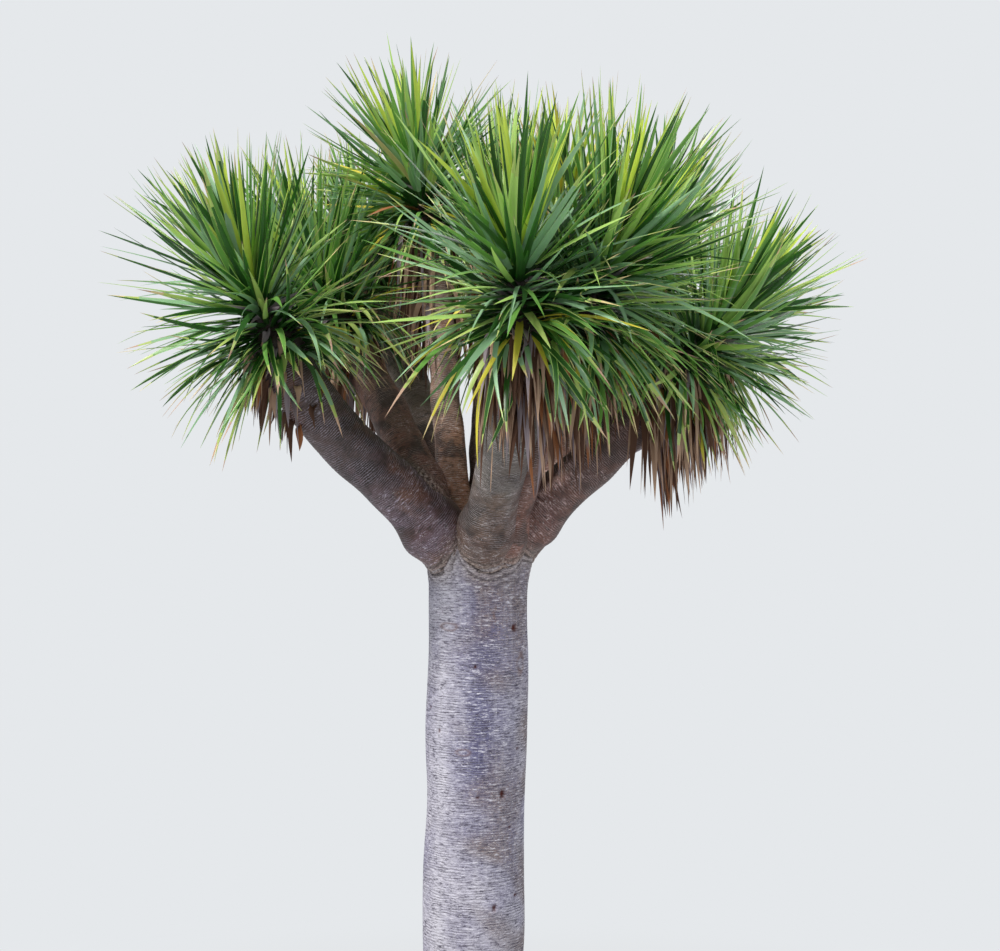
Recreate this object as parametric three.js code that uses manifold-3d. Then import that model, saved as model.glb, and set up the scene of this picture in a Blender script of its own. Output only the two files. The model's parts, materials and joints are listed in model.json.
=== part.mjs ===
// Dragon blood tree. One smooth trunk forks at about head height into a fan of thick boughs, and
// each bough ends in a round head of stiff, sword-shaped leaves.
// Millimetres, +Z up, +X to the right and +Y away from the viewer. The origin is the centre of
// the flat cut where the trunk meets the level ground.
import * as THREE from "three";
import { mergeVertices } from "three/addons/utils/BufferGeometryUtils.js";
import Module from "manifold-3d";

const wasm = await Module();
wasm.setup();

// Clearance that neighbouring pieces keep
const GAP = 0.3;

// Trunk
const FORK_HEIGHT = 2284;
const TRUNK_RADIUS = 150;
const TRUNK_LEAN = 39; // how far the fork stands to the right of the foot
const TRUNK_SWELL = 0.015; // slow swelling and narrowing up the shaft, as a share of the radius
const SWELL_SPACING = 560;
const FLARE_WIDTH = 72; // added to the radius where the roots begin to spread
const FLARE_HEIGHT = 640;
const ROOT_LOBES = 5;
const ROOT_LOBE_DEPTH = 0.09; // depth of the lobes at the ground, as a share of the radius
const DOME_HEIGHT = 95; // rounded top that the boughs are seated on
const TRUNK_SIDES = 24;
const FLARE_STEPS = 5;
const FLARE_CROWDING = 1.4; // brings the steps closer together towards the ground
const SHAFT_STEPS = 7;
const DOME_STEPS = 3;

// Boughs
const SEAT_OFFSET = 72; // from the trunk's centre line to the middle of a bough's foot
const SEAT_SINK = 72; // depth of the foot's lower lip below the fork
const LAUNCH_PULL = 0.38; // share of a bough's span over which it keeps its first direction
const FINISH_PULL = 0.34; // share of it over which it turns into its last direction
const LIMB_SIDES = 9;
const LIMB_STEPS = 7;
const FOOT_BULGE = 0.26; // swelling of a bough over its seat, as a share of its girth
const BULGE_PLACE = 125; // distance along the bough at which it is widest
const BULGE_REACH = 65; // and over which it fades

// Heads of leaves
const STEM_LENGTH = 150; // leafy end of a bough, which the leaves hide
const STEM_RADIUS = 42;
const STEM_TOP_RADIUS = 26;
const STEM_CAP = 13; // rise of its rounded top
const STEM_SIDES = 6;
const HEART = 0.6; // share of the stem's length at which the leaves seem to meet
const SPACE_HEART = 0.3; // from the bough's tip to the middle of its head's space, in leaf lengths
const SPACE_MARGIN = 2.5; // from a leaf to the border of its head's own space
const LIMB_MARGIN = 5; // from a leaf's edge to the bark of a bough
const PROBES = 10; // points along a leaf that are held clear of the bark
const BARK_PROBES = 28; // and sections along a bough that they are held clear of
const NEAR_TIP = 3; // sections past whose flat end a leaf may pass

// Leaves
const LEAVES_PER_HEAD = 52;
const LEAF_WIDTH = 47;
const LEAF_THICKNESS = 11;
const WIDEST = 0.36; // share of the length at which a leaf is widest
const ROOT_SHARE = 0.45; // width of a leaf's root, as a share of its full width
const ROOT_DEPTH = 0.45; // how deep the root is sunk, as a share of the stem's radius
const LOWEST_ROOT = 0.24; // place of the oldest leaf's root, as a share of the stem's length
const HIGHEST_ROOT = 0.96; // and of the youngest leaf's
const STRAIGHT = 0.36; // share of its length over which a leaf keeps its first direction
const GOLDEN_ANGLE = THREE.MathUtils.degToRad(137.508);
const YOUNG_LEAN = 7; // degrees from the head's axis for the youngest leaf
const OLD_LEAN = 112; // and for the oldest
const AGEING = 0.72; // leaves open quickly at first, then slowly
const YOUNG_LENGTH = 0.88; // length of the youngest leaf, as a share of the head's leaf length
const GROWN_AGE = 0.14; // age at which a leaf has its full length
const OLD_LENGTH = 0.62; // length of the oldest, which grew when the head was smaller
const LENGTH_SPREAD = 0.12;
const LEAN_SPREAD = 8;
const SWEPT = new THREE.Vector3(1, 0, -0.25); // older leaves of a swept head are drawn this way
const LIFT = 0.34; // how far the tips of young leaves turn up, as a share of their length
const SAG = 0.95; // how far those of old leaves sag
const SAGGING = 1.3; // sag grows with this power of the age
const LIMP_AGE = 0.6; // past it a leaf hangs ever lower
const LIMP_SAG = 1.9;
const DRY_AGE = 0.94; // leaves older than this are dead and hang, where a row gives no other age
const DRY_SAG = 2.6;
const DRY_LENGTH = 0.9;
const FITS = [1, 0.86, 0.72]; // a leaf short of room may be this share of its length
const SEED = 31;
const PRISM_WIDTH = 1 / Math.sqrt(3); // brings a three-sided section of radius 1 to width 1
const PRISM_HEIGHT = 1 / 1.5; // and to height 1

// One row for each bough with the head it carries. The head's heart lies at a heading about the
// fork (0 to the right, 90 away from the viewer), at a reach from the fork's centre line, with a
// rise above it. The bough leaves its seat at the launch angle from the vertical, ends tilted
// towards its facing, and girth gives its radius at the foot, the waist and the tip. A bough that
// grows on another one starts at the share of that one's length given as along. Leaf is the length
// of the head's leaves, dryFrom the age from which they are dead, fall how readily old ones hang, and
// sweep how far they are drawn to the right. Sink is the depth of the foot's lower lip where it is
// not the usual one. Rows that come first keep their full foot, and later ones are cut to fit round
// them.
const BOUGHS = [
  { name: "front", heading: -81, reach: 689, rise: 670, launch: 34, tilt: 27, facing: -97,
    girth: [73, 72, 84], leaf: 475, dryFrom: 0.88, fall: 1 },
  { name: "left", heading: 210, reach: 687, rise: 665, launch: 40, tilt: 25, facing: 205,
    girth: [80, 78, 74], leaf: 470, dryFrom: 0.93, fall: 0.55 },
  { name: "right_outer", heading: -17, reach: 672, rise: 600, launch: 46, tilt: 40, facing: -22,
    sink: 36, girth: [76, 68, 64], leaf: 450, dryFrom: 0.84, fall: 0.5, sweep: 0.45 },
  { name: "front_right", heading: -59, reach: 606, rise: 697, launch: 34, tilt: 34, facing: -48,
    girth: [62, 56, 66], leaf: 515, dryFrom: 0.88, fall: 0.8, sweep: 0.48 },
  { name: "upright", heading: 125, reach: 335, rise: 1130, launch: 18, tilt: 11, facing: 160,
    girth: [56, 47, 58], leaf: 455 },
  { name: "right", heading: 21, reach: 554, rise: 867, launch: 36, tilt: 16, facing: 45,
    girth: [66, 58, 62], leaf: 475 },
  { name: "back_left", heading: 118, reach: 850, rise: 985, launch: 32, tilt: 36, facing: 122,
    girth: [64, 60, 60], leaf: 480 },
  { name: "back", heading: 86, reach: 701, rise: 1098, launch: 20, tilt: 27, facing: 84,
    girth: [54, 50, 58], leaf: 480 },
  { name: "back_right", heading: 59, reach: 870, rise: 796, launch: 42, tilt: 38, facing: 55,
    girth: [64, 56, 60], leaf: 480 },
  { name: "middle", heading: -49, reach: 332, rise: 777, launch: 12, tilt: 9, facing: -72,
    girth: [50, 46, 54], leaf: 475 },
  { name: "left_upper", from: "left", along: 0.16, heading: 153, reach: 555, rise: 797,
    launch: 16, tilt: 30, facing: 165, girth: [66, 60, 60], leaf: 480 },
  { name: "right_back", from: "right", along: 0.28, heading: 27.5, reach: 900, rise: 700,
    launch: 52, tilt: 34, facing: 31, girth: [60, 54, 58], leaf: 400 },
];

// Colours, with how rough each surface is
const BARK = { color: "#a7a0a3", roughness: 0.9, metalness: 0 };
const BOUGH_BARK = { color: "#7d6a5e", roughness: 0.88, metalness: 0 };
const LEAF_GREEN = { color: "#4f7a34", roughness: 0.5, metalness: 0 };

const FORK = new THREE.Vector3(TRUNK_LEAN, 0, FORK_HEIGHT);
const { degToRad, lerp, seededRandom } = THREE.MathUtils;

// Unit vector at an angle from the vertical, towards a heading about it
function direction(tilt, heading) {
  const flat = Math.sin(degToRad(tilt));
  const turn = degToRad(heading);
  return new THREE.Vector3(flat * Math.cos(turn), flat * Math.sin(turn), Math.cos(degToRad(tilt)));
}

// Moves every vertex of a geometry to the point that place() gives for it
function reshape(geometry, place) {
  const position = geometry.attributes.position;
  const vertex = new THREE.Vector3();
  for (let i = 0; i < position.count; i += 1) {
    const moved = place(vertex.fromBufferAttribute(position, i).clone());
    position.setXYZ(i, moved.x, moved.y, moved.z);
  }
  return geometry;
}

// Closed geometry to solid: shared vertices are merged, and triangles that vanish are left out
function solidOf(geometry) {
  geometry.deleteAttribute("normal");
  geometry.deleteAttribute("uv");
  const merged = mergeVertices(geometry, 1e-3);
  const corners = merged.index.array;
  const kept = [];
  for (let i = 0; i < corners.length; i += 3) {
    const [a, b, c] = corners.slice(i, i + 3);
    if (a !== b && b !== c && c !== a) {
      kept.push(a, b, c);
    }
  }
  return new wasm.Manifold(new wasm.Mesh({
    numProp: 3,
    vertProperties: new Float32Array(merged.attributes.position.array),
    triVerts: new Uint32Array(kept),
  }));
}

// Largest single body of a solid, without loose scraps and sealed hollows
function whole(solid) {
  return solid.decompose().sort((a, b) => b.volume() - a.volume())[0];
}

// Solid to a mesh with its name and material
function meshOf(name, solid, material) {
  const { vertProperties, triVerts } = solid.getMesh();
  const geometry = new THREE.BufferGeometry();
  geometry.setAttribute("position", new THREE.BufferAttribute(new Float32Array(vertProperties), 3));
  geometry.setIndex(new THREE.BufferAttribute(new Uint32Array(triVerts), 1));
  geometry.computeVertexNormals();
  const mesh = new THREE.Mesh(geometry, new THREE.MeshStandardMaterial(material));
  mesh.name = name;
  return mesh;
}

// Trunk: a turned profile with a flared foot, a gently swelling shaft and a domed top, then
// lobed near the ground and leaned. Its foot is one flat face at ground level.
function trunkSolid(grow) {
  const radiusAt = (height) => {
    const flare = FLARE_WIDTH * Math.max(0, 1 - height / FLARE_HEIGHT) ** 3;
    const swell = TRUNK_SWELL * Math.sin((2 * Math.PI * height) / SWELL_SPACING);
    return TRUNK_RADIUS * (1 + swell) + flare + grow;
  };
  const profile = [new THREE.Vector2(0, 0)];
  for (let i = 0; i < FLARE_STEPS; i += 1) {
    const height = FLARE_HEIGHT * (i / FLARE_STEPS) ** FLARE_CROWDING;
    profile.push(new THREE.Vector2(radiusAt(height), height));
  }
  for (let i = 0; i < SHAFT_STEPS; i += 1) {
    const height = lerp(FLARE_HEIGHT, FORK_HEIGHT, i / SHAFT_STEPS);
    profile.push(new THREE.Vector2(radiusAt(height), height));
  }
  for (let i = 0; i <= DOME_STEPS; i += 1) {
    const rise = (Math.PI / 2) * (i / DOME_STEPS);
    const radius = i === DOME_STEPS ? 0 : radiusAt(FORK_HEIGHT) * Math.cos(rise);
    profile.push(new THREE.Vector2(radius, FORK_HEIGHT + (DOME_HEIGHT + grow) * Math.sin(rise)));
  }
  const turned = new THREE.LatheGeometry(profile, TRUNK_SIDES).rotateX(Math.PI / 2);
  return solidOf(reshape(turned, (point) => {
    const around = Math.atan2(point.y, point.x);
    const lobe = ROOT_LOBE_DEPTH * Math.max(0, 1 - point.z / FLARE_HEIGHT) ** 2;
    const spread = 1 + lobe * Math.cos(ROOT_LOBES * around);
    point.x = point.x * spread + (TRUNK_LEAN * point.z) / FORK_HEIGHT;
    point.y *= spread;
    return point;
  }));
}

// Centre line of a bough with the points and directions that its solid and its head need
function layOutBough(row, boughs) {
  const axis = direction(row.tilt, row.facing);
  const flat = direction(90, row.heading);
  const heart = FORK.clone().addScaledVector(flat, row.reach);
  heart.z += row.rise;
  const tip = heart.clone().addScaledVector(axis, -HEART * STEM_LENGTH);
  const parent = boughs.find((other) => other.name === row.from);
  const lip = row.girth[0] * Math.sin(degToRad(row.launch));
  const foot = parent
    ? parent.curve.getPointAt(row.along)
    : FORK.clone().addScaledVector(flat, SEAT_OFFSET)
      .setZ(FORK_HEIGHT - (row.sink ?? SEAT_SINK) + lip);
  const span = foot.distanceTo(tip);
  const curve = new THREE.CubicBezierCurve3(
    foot,
    foot.clone().addScaledVector(direction(row.launch, row.heading), LAUNCH_PULL * span),
    tip.clone().addScaledVector(axis, -FINISH_PULL * span),
    tip,
  );
  const length = curve.getLength();
  const girthAt = (share) => {
    const [low, waist, high] = row.girth;
    const rest = 1 - share;
    const bulge = FOOT_BULGE * Math.exp(-(((share * length - BULGE_PLACE) / BULGE_REACH) ** 2));
    const middle = 2 * (2 * waist - (low + high) / 2);
    return (1 + bulge) * (low * rest * rest + middle * rest * share + high * share * share);
  };
  const space = tip.clone().addScaledVector(axis, SPACE_HEART * row.leaf);
  return { ...row, axis, tip, curve, girthAt, space };
}

// Bough: a cylinder bent along its centre line, thick at the foot and slimmer at the waist
function boughSolid(bough, grow) {
  const frames = bough.curve.computeFrenetFrames(LIMB_STEPS);
  const tube = new THREE.CylinderGeometry(1, 1, 1, LIMB_SIDES, LIMB_STEPS);
  return solidOf(reshape(tube, (point) => {
    const share = point.y + 0.5;
    const step = Math.round(share * LIMB_STEPS);
    const radius = bough.girthAt(share) + grow;
    return bough.curve.getPointAt(share)
      .addScaledVector(frames.normals[step], point.x * radius)
      .addScaledVector(frames.binormals[step], -point.z * radius);
  }));
}

// Stem inside a head: a short rounded post that stands on the bough's flat tip
function stemSolid(bough) {
  const profile = [
    new THREE.Vector2(0, GAP),
    new THREE.Vector2(STEM_RADIUS, GAP),
    new THREE.Vector2(STEM_RADIUS, STEM_LENGTH / 2),
    new THREE.Vector2(STEM_TOP_RADIUS, STEM_LENGTH),
    new THREE.Vector2(0, STEM_LENGTH + STEM_CAP),
  ];
  const up = new THREE.Vector3(0, 1, 0);
  const turn = new THREE.Quaternion().setFromUnitVectors(up, bough.axis);
  const post = new THREE.LatheGeometry(profile, STEM_SIDES).applyQuaternion(turn);
  return solidOf(post.translate(bough.tip.x, bough.tip.y, bough.tip.z));
}

// Leaf of a head: it sits on a spiral of golden angles, from the youngest at the top, which is
// upright and turns up at its tip, to the oldest at the bottom, which leans out, sags and at last
// hangs dead.
function leafCurve(bough, index) {
  const age = (index + 0.5) / LEAVES_PER_HEAD;
  const dead = age > (bough.dryFrom ?? DRY_AGE);
  const side = new THREE.Vector3(1, 0, 0).cross(bough.axis).normalize();
  const outward = side.applyAxisAngle(bough.axis, index * GOLDEN_ANGLE);
  const lean = lerp(YOUNG_LEAN, OLD_LEAN, age ** AGEING) + LEAN_SPREAD * (seededRandom() - 0.5);
  const heading = bough.axis.clone().multiplyScalar(Math.cos(degToRad(lean)))
    .addScaledVector(outward, Math.sin(degToRad(lean)))
    .addScaledVector(SWEPT, (bough.sweep ?? 0) * age).normalize();
  const grown = age < GROWN_AGE
    ? lerp(YOUNG_LENGTH, 1, age / GROWN_AGE)
    : lerp(1, OLD_LENGTH, (age - GROWN_AGE) / (1 - GROWN_AGE));
  const withered = dead ? DRY_LENGTH : 1;
  const length = bough.leaf * grown * withered * (1 - LENGTH_SPREAD * seededRandom());
  const height = lerp(HIGHEST_ROOT, LOWEST_ROOT, age) * STEM_LENGTH;
  const root = bough.tip.clone().addScaledVector(bough.axis, height)
    .addScaledVector(outward, STEM_RADIUS * (1 - ROOT_DEPTH) * Math.min(1, lean / 90));
  const limp = (bough.fall ?? 1) * Math.max(0, (age - LIMP_AGE) / (1 - LIMP_AGE));
  const sag = dead ? DRY_SAG : SAG * age ** SAGGING - LIFT * (1 - age) + LIMP_SAG * limp;
  return { root, heading, length, sag };
}

// Leaf: a three-sided blade from its sunk root through the widest point to the tip, flat on the
// upper face and keeled below
function leafGeometry({ root, heading, length, sag }, axis) {
  const across = axis.clone().cross(heading).normalize();
  const fallen = heading.clone().add(new THREE.Vector3(0, 0, -sag)).normalize();
  const curve = new THREE.QuadraticBezierCurve3(
    root,
    root.clone().addScaledVector(heading, length * STRAIGHT),
    root.clone().addScaledVector(heading, length * STRAIGHT)
      .addScaledVector(fallen, length * (1 - STRAIGHT)),
  );
  const blade = new THREE.ConeGeometry(1, 1, 3, 2);
  return reshape(blade, (point) => {
    const row = Math.round((point.y + 0.5) * 2);
    const share = [0, WIDEST, 1][row];
    const width = [ROOT_SHARE, 2, 0][row];
    const upper = curve.getTangent(share).cross(across).normalize();
    return curve.getPoint(share)
      .addScaledVector(across, point.x * width * LEAF_WIDTH * PRISM_WIDTH)
      .addScaledVector(upper, -point.z * width * LEAF_THICKNESS * PRISM_HEIGHT);
  });
}

// Points spread along a leaf from where it leaves the stem to its tip, with its half width there
function probes({ attributes }, root) {
  const corners = [];
  for (let i = 0; i < attributes.position.count; i += 1) {
    corners.push(new THREE.Vector3().fromBufferAttribute(attributes.position, i));
  }
  const tip = corners[0];
  const middle = corners[4].clone().add(corners[5]).add(corners[6]).divideScalar(3);
  const line = [];
  for (let i = 1; i <= PROBES; i += 1) {
    const share = i / PROBES;
    const low = share < WIDEST;
    const point = low
      ? root.clone().lerp(middle, share / WIDEST)
      : middle.clone().lerp(tip, (share - WIDEST) / (1 - WIDEST));
    const half = (LEAF_WIDTH / 2) * (low ? 1 : (1 - share) / (1 - WIDEST));
    line.push({ point, half });
  }
  return { corners, line };
}

// A leaf fits where it stays in its head's own space and clear of every bough. A head's space is
// everything that lies nearer to its middle than to the middle of any other head.
function fits(leaf, root, bough, boughs) {
  const { corners, line } = probes(leaf, root);
  const inSpace = boughs.every((other) => {
    if (other === bough) {
      return true;
    }
    const between = other.space.clone().sub(bough.space);
    const border = between.length() / 2 - SPACE_MARGIN;
    between.normalize();
    return corners.every((corner) => corner.clone().sub(bough.space).dot(between) < border);
  });
  return inSpace && boughs.every((other) => line.every(({ point, half }) => {
    const beyond = point.clone().sub(other.tip).dot(other.axis) - LIMB_MARGIN;
    return other.bark.every(({ centre, radius, last }) => (
      (last && beyond > 0) || centre.distanceTo(point) > radius + half + LIMB_MARGIN
    ));
  }));
}

// Head: the stem with every leaf that fits fused on
function headSolid(bough, boughs) {
  const pieces = [stemSolid(bough)];
  for (let index = 0; index < LEAVES_PER_HEAD; index += 1) {
    const plan = leafCurve(bough, index);
    const sizes = FITS.map((share) => ({ ...plan, length: plan.length * share }));
    const leaf = sizes.map((size) => leafGeometry(size, bough.axis))
      .find((blade) => fits(blade, plan.root, bough, boughs));
    if (leaf) {
      pieces.push(solidOf(leaf));
    }
  }
  return whole(wasm.Manifold.union(pieces));
}

const group = new THREE.Group();
group.add(meshOf("trunk", trunkSolid(0), BARK));

const boughs = [];
for (const row of BOUGHS) {
  boughs.push(layOutBough(row, boughs));
}
for (const bough of boughs) {
  bough.bark = Array.from({ length: BARK_PROBES + 1 }, (_, i) => ({
    centre: bough.curve.getPointAt(i / BARK_PROBES),
    radius: bough.girthAt(i / BARK_PROBES),
    last: i > BARK_PROBES - NEAR_TIP,
  }));
}

let taken = trunkSolid(GAP);
for (const bough of boughs) {
  const fitted = whole(boughSolid(bough, 0).subtract(taken));
  group.add(meshOf(`bough_${bough.name}`, fitted, BOUGH_BARK));
  taken = taken.add(boughSolid(bough, GAP));
}

seededRandom(SEED);
for (const bough of boughs) {
  group.add(meshOf(`leaves_${bough.name}`, headSolid(bough, boughs), LEAF_GREEN));
}

export default group;
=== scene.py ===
# Dragon blood tree, dressed for rendering. Ringed bark covers the trunk and the boughs, and each head of
# sword-shaped leaves grows by the rule of the part's source, carried finer.
# Metres, +Z up, +X to the right and +Y away from the viewer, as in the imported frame.
import json
import math

import bpy
import numpy as np
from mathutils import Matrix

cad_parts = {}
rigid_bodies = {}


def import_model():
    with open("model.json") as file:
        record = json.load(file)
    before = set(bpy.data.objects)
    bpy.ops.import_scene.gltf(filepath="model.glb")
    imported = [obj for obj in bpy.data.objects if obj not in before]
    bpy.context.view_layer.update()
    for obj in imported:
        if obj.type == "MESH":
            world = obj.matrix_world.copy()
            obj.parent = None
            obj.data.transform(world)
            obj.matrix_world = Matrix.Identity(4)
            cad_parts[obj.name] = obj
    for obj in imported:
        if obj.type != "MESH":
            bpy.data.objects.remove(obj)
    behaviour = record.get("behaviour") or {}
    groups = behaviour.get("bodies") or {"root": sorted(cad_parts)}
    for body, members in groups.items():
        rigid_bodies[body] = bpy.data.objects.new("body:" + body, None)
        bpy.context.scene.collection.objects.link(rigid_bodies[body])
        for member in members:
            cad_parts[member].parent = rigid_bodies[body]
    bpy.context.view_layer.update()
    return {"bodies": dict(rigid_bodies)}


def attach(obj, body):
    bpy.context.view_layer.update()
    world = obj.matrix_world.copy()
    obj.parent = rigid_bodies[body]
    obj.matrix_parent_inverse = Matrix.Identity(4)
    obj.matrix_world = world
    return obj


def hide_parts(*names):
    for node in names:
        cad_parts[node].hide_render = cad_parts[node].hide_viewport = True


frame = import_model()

BODY = next(iter(frame["bodies"]))

# The photograph's frame and the camera that took it
PHOTO_WIDTH = 1000  # pixels
PHOTO_HEIGHT = 951
FOCAL_PIXELS = 1400
HORIZON_ROW = 530  # the camera looks level, at this row
CAMERA_PLACE = (0.10, -4.20, 2.35)
SENSOR_WIDTH = 36  # millimetres

# Trunk, as in the source
FORK_HEIGHT = 2.284
TRUNK_RADIUS = 0.150
TRUNK_LEAN = 0.039
TRUNK_SWELL = 0.015
SWELL_SPACING = 0.560
FLARE_WIDTH = 0.072
FLARE_HEIGHT = 0.640
ROOT_LOBES = 5
ROOT_LOBE_DEPTH = 0.09
DOME_HEIGHT = 0.095
FORK = np.array([TRUNK_LEAN, 0, FORK_HEIGHT])
UP = np.array([0.0, 0.0, 1.0])

# Boughs, as in the source
SEAT_OFFSET = 0.072
LAUNCH_PULL = 0.38  # shares of its span for which a bough runs straight, at its foot and at its tip
FINISH_PULL = 0.34
STEM_LENGTH = 0.150
STEM_RADIUS = 0.042
STEM_TOP_RADIUS = 0.026
HEART = 0.6  # up the head's stem, the point that reach and rise lead to
SPACE_HEART = 0.3  # from the tip to the middle of the head's own space, as a share of a leaf
# Traits of a bough: heading, reach and rise lead from the fork to its head, launch is its lean at the foot,
# tilt and facing are its head's lean and heading, girth is its radius at foot, waist and tip, leaf is the
# longest leaf, and straps is how many dead ones hang from it, up to drop long. Last come its unusual
# traits. One with a parent forks off that bough, a share along it.
TRAITS = "name heading reach rise launch tilt facing girth leaf bark straps drop".split()
BOUGHS = [
    ("front", -81, 0.689, 0.670, 34, 27, -97, (0.073, 0.072, 0.084), 0.475, "grey", 190, 0.26,
     dict(yellow=0.16, shrivelled=0.12, wild=1.55)),
    ("left", 210, 0.687, 0.665, 40, 25, 205, (0.080, 0.078, 0.074), 0.470, "plum", 72, 0.17,
     dict(fall=0.55)),
    ("right_outer", -17, 0.672, 0.600, 46, 40, -22, (0.076, 0.068, 0.064), 0.450, "umber", 280, 0.30,
     dict(sink=0.036, leaves=300, fall=0.5, sweep=0.45)),
    ("front_right", -59, 0.606, 0.697, 34, 34, -48, (0.062, 0.056, 0.066), 0.515, "rust", 170, 0.32,
     dict(fall=0.8, sweep=0.48, yellow=0.1, wild=1.3)),
    ("upright", 125, 0.335, 1.130, 18, 11, 160, (0.056, 0.047, 0.058), 0.455, "rose", 180, 0.34,
     dict(worn=0.12, wild=1.25)),
    ("right", 21, 0.554, 0.867, 36, 16, 45, (0.066, 0.058, 0.062), 0.475, "rust", 80, 0.3, {}),
    ("back_left", 118, 0.850, 0.985, 32, 36, 122, (0.064, 0.060, 0.060), 0.480, "sand", 190, 0.42, {}),
    ("back", 86, 0.701, 1.098, 20, 27, 84, (0.054, 0.050, 0.058), 0.480, "sand", 90, 0.34, {}),
    ("back_right", 59, 0.870, 0.796, 42, 38, 55, (0.064, 0.056, 0.060), 0.480, "sand", 60, 0.3, {}),
    ("middle", -49, 0.332, 0.777, 12, 9, -72, (0.050, 0.046, 0.054), 0.475, "rust", 60, 0.28,
     dict(worn=0.5, wild=1.4)),
    ("left_upper", 153, 0.555, 0.797, 16, 30, 165, (0.066, 0.060, 0.060), 0.480, "rust", 120, 0.32,
     dict(parent="left", along=0.16)),
    ("right_back", 27.5, 0.900, 0.700, 52, 34, 31, (0.060, 0.054, 0.058), 0.400, "plum", 80, 0.34,
     dict(parent="right", along=0.28, leaves=290)),
]
# How deep the foot sinks into the trunk, how many leaves the head tries, how far old ones fall and are
# swept aside, how wildly leaves stray, and the shares of yellow, worn and shrivelled ones
USUAL = dict(sink=0.072, leaves=450, fall=1, sweep=0, wild=1, yellow=0.03, worn=0, shrivelled=0.06)

# Leaves, as in the source where it has the same name, but more of them and at their real width
LEAF_WIDTH = 0.0195
WIDTH_SPREAD = (0.72, 1.26)
YOUNG_WIDTH = 1.06  # as a share of LEAF_WIDTH
WIDTH_LOSS = 0.26  # with age
LEAF_THICKNESS = 0.0030
STRAIGHT = 0.36
GOLDEN_ANGLE = math.radians(137.508)
YOUNG_LEAN = 7
OLD_LEAN = 112
AGEING = 0.72
YOUNG_LENGTH = 0.88
GROWN_AGE = 0.14
OLD_LENGTH = 0.62
LENGTH_SPREAD = 0.22
DISORDER = 2.0  # how much more the oldest leaves stray than the youngest
DISORDER_AGES = (0.45, 0.9)
LEAN_SPREAD = 16
TURN_SPREAD = 0.16
TUFTS = (5, (0.25, 0.80))  # tufts round a head, and their span of ages
TUFT_AGE = 0.2  # from which leaves lean fully with their tuft
TUFT_TURN = 0.12  # radians
CLUMPS = 11  # degrees by which a tuft's leaves lean together
TUFT_LENGTH = 0.05  # share by which they are longer or shorter
LIFT = 0.34  # how far young leaves turn up, as a share of their length
SAG = 0.95  # how far grown leaves sag
SAG_SPREAD = 0.40
LIMP_AGE = 0.60  # past it a leaf hangs ever lower
LIMP_SAG = 1.9
KINKED = 0.06  # share of the leaves past KINK_AGE that have snapped
KINK_AGE = 0.3
KINK_SAG = 2.6
KINK_PLACE = (0.35, 0.6)
STUB_AGE = 0.15  # past it some leaves have withered to a curled stub
STUB_LENGTH = (0.16, 0.36)
FOLD = (0.14, 0.40)  # how far a leaf's edges lift, as a share of its half width
STUB_FOLD = (0.6, 1.4)
TWIST = 0.55  # spread, in radians, of the turn from root to tip
STUB_TWIST = 1.4
BEND = 0.09  # spread of the sideways bow, as a share of the length
WILD_BEND = 0.03
STUB_BEND = 0.10
HIGHEST_ROOT = 1.20  # up the head's stem
LOWEST_ROOT = -0.42
ROOT_DEPTH = 0.45
SHOULDER = 0.35  # share of the stem over which the bough's end closes in on it
RIM = 0.96  # leaves below the tip root just inside the bough's skin
STRAP_WIDTH = (0.010, 0.026)
STRAP_ROOTS = 0.26  # share of the bough, below its tip, that the straps grow from
STRAP_FAN = 1.1  # spread, in radians, about the bough's underside
STRAP_STRAIGHT = 0.07
STRAP_SAG = 14.0
FITS = (1, 0.86, 0.72)  # shares of its length at which a leaf is tried
FIT_STATIONS = np.linspace(0.1, 1, 12)
LIMB_MARGIN = 0.004
SPACE_OVERLAP = 0.24  # how far leaves of neighbouring heads reach in among each other
SWEPT = np.array([1.0, 0.0, -0.25])  # older leaves of a swept head are drawn this way
SEED = 31

# Bark relief
WAVE_COUNT = 16  # cosines in one set of waves
TRUNK_PITCH = 0.0074  # from one leaf scar to the next
BOUGH_PITCH = 0.0056
GROOVE_SHARE = 0.24  # half width of the groove between two scars, as a share of the pitch
TRUNK_RING_DEPTH = 0.0008
BOUGH_RING_DEPTH = 0.0009
TRUNK_WAVE = 0.0022  # depth of the slow swells and hollows
BOUGH_WAVE = 0.0026
PIT_LIP = 0.0015  # height of the rim round a pit or a scar
SCAR_RIM = 0.0014
FOOT_BULGE = 0.26  # swelling of a bough over its seat, as a share of its girth
BULGE_PLACE = 0.125  # along the bough
BULGE_REACH = 0.065
COLLAR_REACH = 0.024  # how far the folded collar at a bough's seat spreads
COLLAR_RISE = 0.010
COLLAR_CALM = 0.6  # share of the other relief that it smooths away
FOLD_PITCH = 0.0115
FOLD_DEPTH = 0.0068
CREVICE = 0.030  # how far from the next bough the bark is stained and darkened by painted shade
CROWN = 0.012  # of a stem's rounded top

# Dark band, a painted highlight down the side that faces the key lamp, and stains down the trunk: headings
# in degrees, half widths in radians, and the heights between which two of them set in
BAND_HEADING = -84
BAND_WIDTH = 0.42
BAND_RISE = (1.2, 1.9)
PAINTED_HIGHLIGHT_HEADING = -132
PAINTED_HIGHLIGHT_WIDTH = 0.22
STAIN_HEADING = -22
TOP_HEADING = -30
TOP_RISE = (1.95, 2.2)

# Meshes of the bark
SHAFT_ROWS = 855
SHAFT_CROWDING = 0.85  # brings the rows closer together towards the fork
DOME_ROWS = 26
STEM_ROWS = 21
TRUNK_COLUMNS = 112
COLUMN_CROWDING = 0.38  # brings the columns closer together towards the viewer
BOUGH_ROW = 0.0030  # from one row of the bough's mesh to the next
BOUGH_COLUMNS = 60
LINE_STEPS = 400  # points by which the length along a centre line is measured
SKIN_SAMPLES = 70  # points of a centre line from which distances to its skin are taken

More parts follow.
